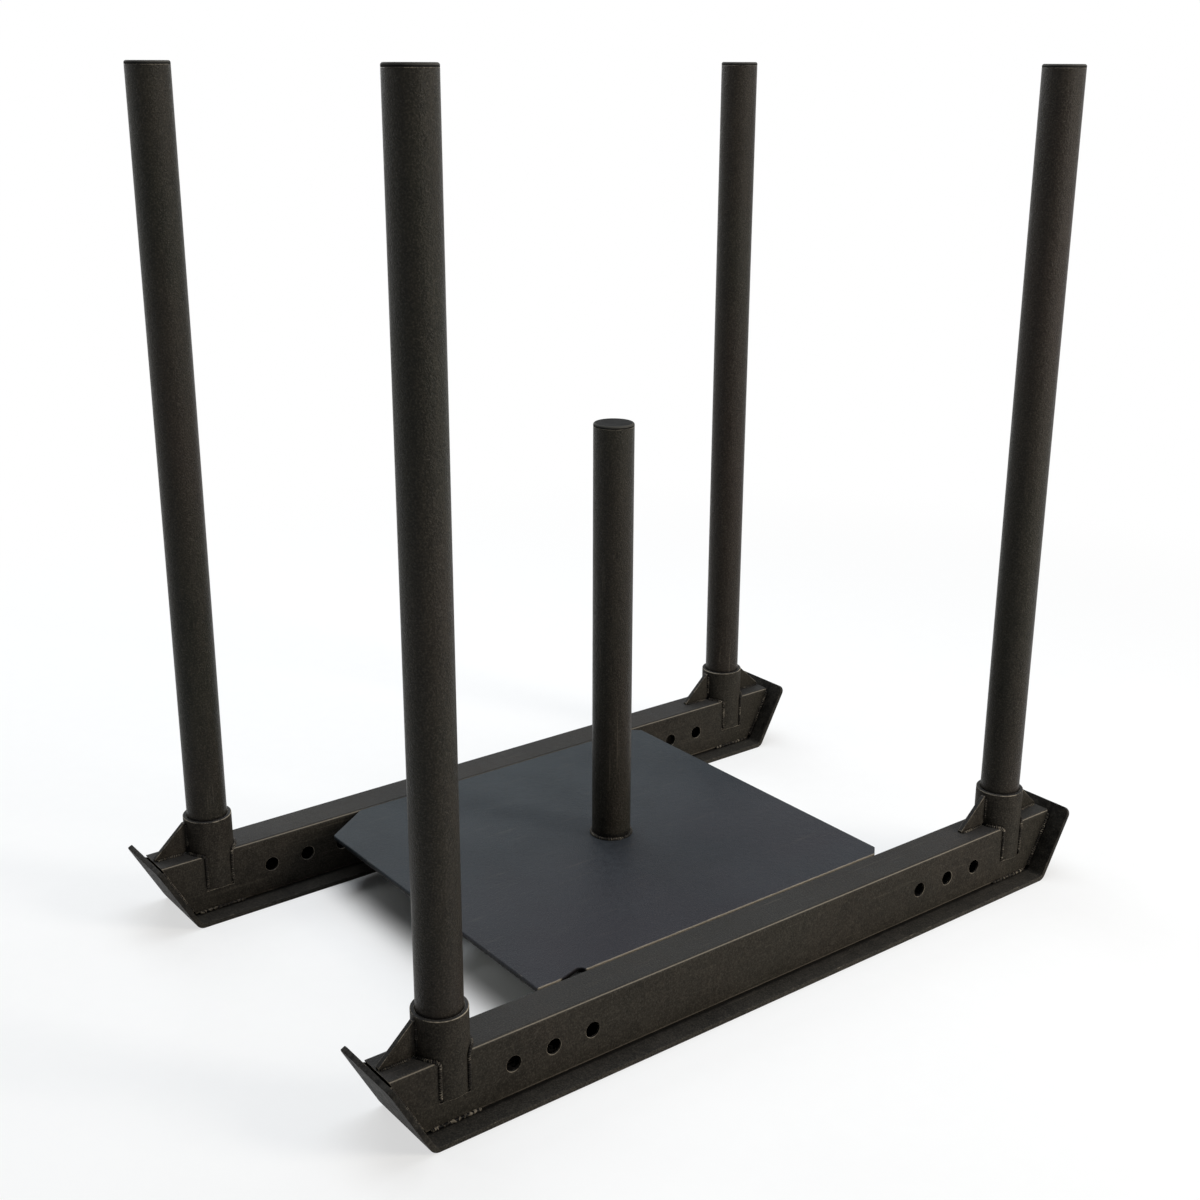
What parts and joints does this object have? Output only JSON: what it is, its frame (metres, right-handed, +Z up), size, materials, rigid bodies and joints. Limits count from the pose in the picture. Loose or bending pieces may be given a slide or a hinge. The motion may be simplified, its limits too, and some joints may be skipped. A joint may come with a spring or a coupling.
{
  "type": "drag sled",
  "caption": "Steel drag sled: box rails on upturned skid plates, a deck plate with a load post, and removable uprights standing in braced corner sockets.",
  "frame": {"origin": "on the ground under the load post, at the middle of the rails", "axes": "+Z up, -Y towards the front (the end with the tow slot), +X to the right as seen from the front"},
  "size_m": [0.635, 1.0136, 1.001],
  "materials": {
    "frame_paint": "satin black powder coat",
    "tube_paint": "satin black powder coat",
    "skid_paint": "satin black powder coat, scuffed below",
    "weld_paint": "coated weld bead",
    "cap_plastic": "moulded black plastic"
  },
  "bodies": {
    "frame": {"left_rail": "frame_paint", "right_rail": "frame_paint", "left_skid_plate": "skid_paint", "right_skid_plate": "skid_paint", "deck_plate": "frame_paint", "load_post": "tube_paint", "load_post_cap": "cap_plastic", "socket_welds": "weld_paint", "gusset_welds": "weld_paint", "skid_welds": "weld_paint", "rail_end_welds": "weld_paint", "deck_welds": "weld_paint", "front_left_socket": "frame_paint", "front_left_outer_gusset": "frame_paint", "front_right_socket": "frame_paint", "front_right_outer_gusset": "frame_paint", "rear_left_socket": "frame_paint", "rear_left_outer_gusset": "frame_paint", "rear_left_inner_gusset": "frame_paint", "rear_right_socket": "frame_paint", "rear_right_outer_gusset": "frame_paint", "rear_right_inner_gusset": "frame_paint"},
    "front_left_upright": {"front_left_upright": "tube_paint", "front_left_upright_cap": "cap_plastic"},
    "front_right_upright": {"front_right_upright": "tube_paint", "front_right_upright_cap": "cap_plastic"},
    "rear_left_upright": {"rear_left_upright": "tube_paint", "rear_left_upright_cap": "cap_plastic"},
    "rear_right_upright": {"rear_right_upright": "tube_paint", "rear_right_upright_cap": "cap_plastic"}
  },
  "joints": [
    {"name": "front_left_upright_lift", "type": "slide", "parent": "frame", "child": "front_left_upright", "axis": [0, 0, 1], "range_m": [0, 0.095]},
    {"name": "front_right_upright_lift", "type": "slide", "parent": "frame", "child": "front_right_upright", "axis": [0, 0, 1], "range_m": [0, 0.095]},
    {"name": "rear_left_upright_lift", "type": "slide", "parent": "frame", "child": "rear_left_upright", "axis": [0, 0, 1], "range_m": [0, 0.095]},
    {"name": "rear_right_upright_lift", "type": "slide", "parent": "frame", "child": "rear_right_upright", "axis": [0, 0, 1], "range_m": [0, 0.095]}
  ]
}
